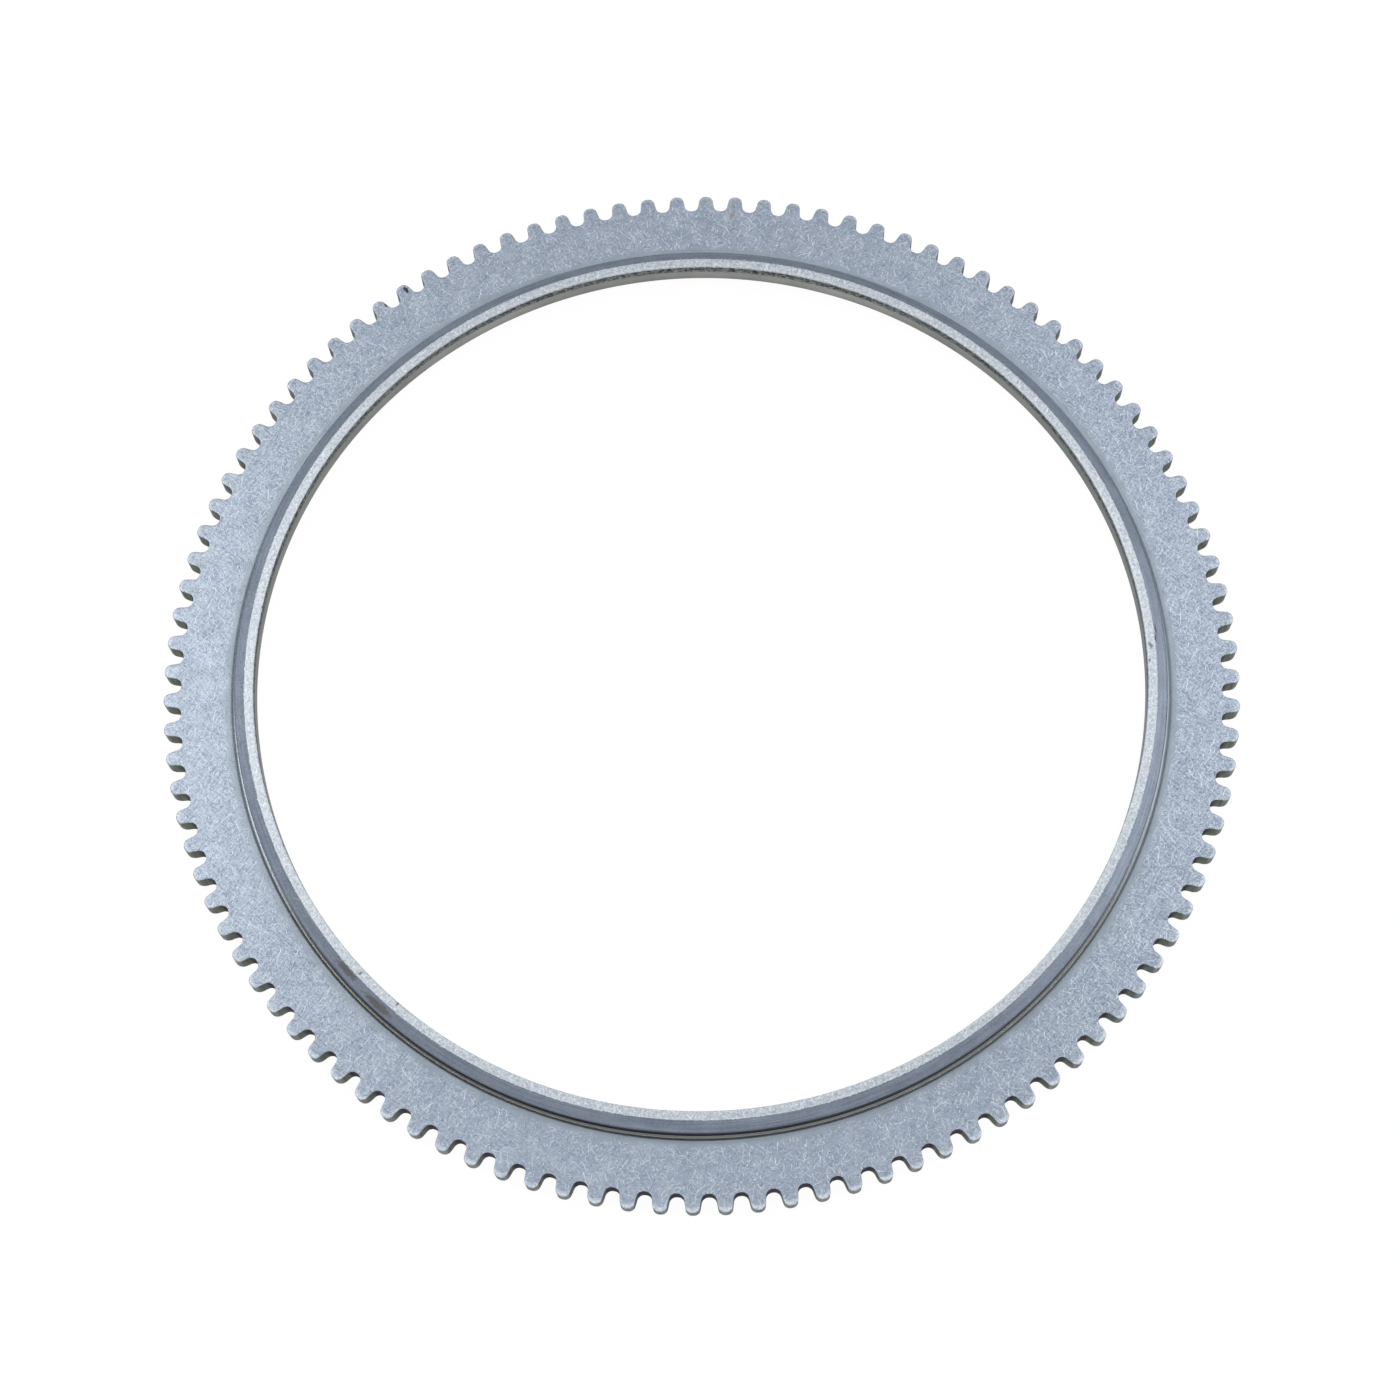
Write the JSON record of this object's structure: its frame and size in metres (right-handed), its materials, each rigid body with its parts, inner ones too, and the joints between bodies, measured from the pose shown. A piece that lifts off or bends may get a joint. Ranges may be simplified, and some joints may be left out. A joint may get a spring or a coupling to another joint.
{
  "type": "abs tone ring",
  "caption": "Flat steel ring with fine round-ended teeth round its rim, a raised lip round the bore and a stepped press seat in the back, read by a wheel speed sensor.",
  "frame": {"origin": "centre of the bore at the back face, on which the ring lies", "axes": "+Z along the ring's axis, from the back face towards the lip; +X through the middle of a tooth"},
  "size_m": [0.1968, 0.1968, 0.0076],
  "materials": {
    "tumbled_steel": "tumbled bare steel, pale blue-grey, with smooth turned bands beside the lip"
  },
  "bodies": {
    "root": {"tone_ring": "tumbled_steel"}
  },
  "joints": []
}
